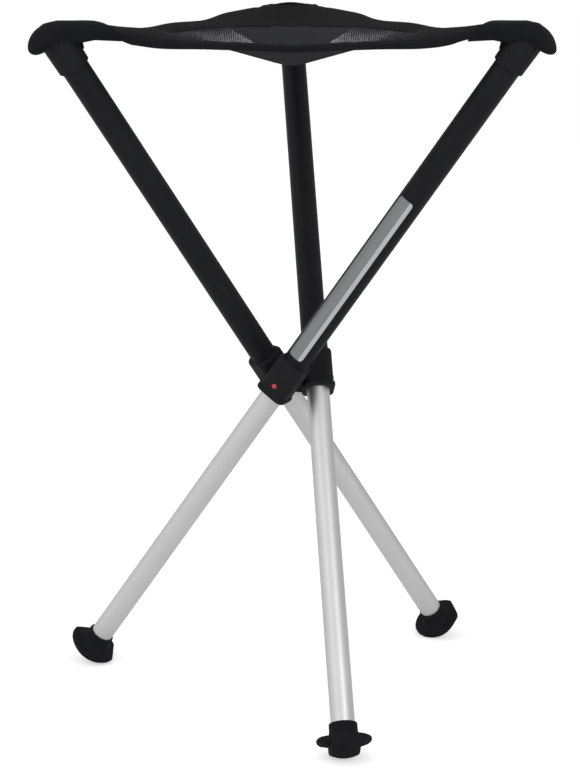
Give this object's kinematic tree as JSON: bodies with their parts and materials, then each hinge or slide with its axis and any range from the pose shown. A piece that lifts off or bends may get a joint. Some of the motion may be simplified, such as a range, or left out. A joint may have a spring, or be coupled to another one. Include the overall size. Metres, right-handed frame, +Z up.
{
  "type": "collapsible telescopic stool",
  "caption": "Folding tripod stool with telescopic legs that cross at a central hub, a triangular cloth seat with a net panel, spring-pin locks and rubber feet.",
  "frame": {"origin": "on the floor, under the middle of the bounding box", "axes": "+Z up; +Y towards the back seat corner, the one opposite the near edge in the picture; +X to the viewer's right"},
  "size_m": [0.469, 0.4924, 0.6488],
  "materials": {
    "black_anodised": "black satin anodised tube",
    "satin_aluminium": "satin silver anodised tube",
    "black_plastic": "fine-grained glass-filled nylon",
    "red_plastic": "moulded red button",
    "black_rubber": "moulded rubber, matt",
    "seat_cloth": "woven polyester, coated",
    "seat_mesh": "open knitted polyester net",
    "zinc_steel": "zinc plated"
  },
  "bodies": {
    "hub": {"hub_upper": "black_plastic", "hub_lower": "black_plastic", "hub_screw": "zinc_steel", "hub_nut": "zinc_steel", "seat_border": "seat_cloth", "seat_net": "seat_mesh"},
    "upper_leg_1": {"upper_tube_1": "black_anodised", "sleeve_1": "black_plastic", "seat_head_1": "black_plastic", "head_pin_1": "zinc_steel", "corner_pocket_1": "seat_cloth"},
    "lower_leg_1": {"lower_tube_1": "satin_aluminium", "top_plug_1": "black_plastic", "lock_spring_1": "zinc_steel", "foot_1": "black_rubber"},
    "button_1": {"lock_button_1": "red_plastic"},
    "upper_leg_2": {"upper_tube_2": "black_anodised", "sleeve_2": "black_plastic", "seat_head_2": "black_plastic", "head_pin_2": "zinc_steel", "corner_pocket_2": "seat_cloth"},
    "lower_leg_2": {"lower_tube_2": "satin_aluminium", "top_plug_2": "black_plastic", "lock_spring_2": "zinc_steel", "foot_2": "black_rubber"},
    "button_2": {"lock_button_2": "red_plastic"},
    "upper_leg_3": {"upper_tube_3": "black_anodised", "sleeve_3": "black_plastic", "seat_head_3": "black_plastic", "head_pin_3": "zinc_steel", "corner_pocket_3": "seat_cloth"},
    "lower_leg_3": {"lower_tube_3": "satin_aluminium", "top_plug_3": "black_plastic", "lock_spring_3": "zinc_steel", "foot_3": "black_rubber"},
    "button_3": {"lock_button_3": "red_plastic"}
  },
  "joints": [
    {"name": "leg_1_fold", "type": "hinge", "parent": "hub", "child": "upper_leg_1", "pos_m": [-0.0153, -0.00046, 0.30572], "axis": [-0.5879, 0.8089, 0], "range_deg": [0, 35.9], "deforming": ["seat_border", "seat_net", "corner_pocket_1"]},
    {"name": "leg_2_fold", "type": "hinge", "parent": "hub", "child": "upper_leg_2", "pos_m": [-0.01082, -0.04301, 0.30572], "axis": [-0.4065, -0.9136, 0], "range_deg": [0, 35.9], "deforming": ["seat_border", "seat_net", "corner_pocket_2"]},
    {"name": "leg_3_fold", "type": "hinge", "parent": "hub", "child": "upper_leg_3", "pos_m": [0.02379, -0.01785, 0.30572], "axis": [0.9945, 0.1047, 0], "range_deg": [0, 35.9], "deforming": ["seat_border", "seat_net", "corner_pocket_3"]},
    {"name": "leg_1_extend", "type": "slide", "parent": "upper_leg_1", "child": "lower_leg_1", "axis": [-0.4743, -0.3448, 0.81], "range_m": [0, 0.315], "deforming": ["lock_spring_1"]},
    {"name": "leg_2_extend", "type": "slide", "parent": "upper_leg_2", "child": "lower_leg_2", "axis": [0.5357, -0.2384, 0.81], "range_m": [0, 0.315], "deforming": ["lock_spring_2"]},
    {"name": "leg_3_extend", "type": "slide", "parent": "upper_leg_3", "child": "lower_leg_3", "axis": [-0.0614, 0.5832, 0.81], "range_m": [0, 0.315], "deforming": ["lock_spring_3"]},
    {"name": "button_1_press", "type": "slide", "parent": "upper_leg_1", "child": "button_1", "axis": [0.5879, -0.8089, 0], "range_m": [0, 0.0015], "stiffness_N_per_m": 400, "springref_m": -0.001, "deforming": ["lock_spring_1"]},
    {"name": "button_2_press", "type": "slide", "parent": "upper_leg_2", "child": "button_2", "axis": [0.4065, 0.9136, 0], "range_m": [0, 0.0015], "stiffness_N_per_m": 400, "springref_m": -0.001, "deforming": ["lock_spring_2"]},
    {"name": "button_3_press", "type": "slide", "parent": "upper_leg_3", "child": "button_3", "axis": [-0.9945, -0.1047, 0], "range_m": [0, 0.0015], "stiffness_N_per_m": 400, "springref_m": -0.001, "deforming": ["lock_spring_3"]}
  ],
  "couplings": [
    {"joint": "leg_2_fold", "follows": "leg_1_fold", "ratio": 1},
    {"joint": "leg_3_fold", "follows": "leg_1_fold", "ratio": 1}
  ]
}
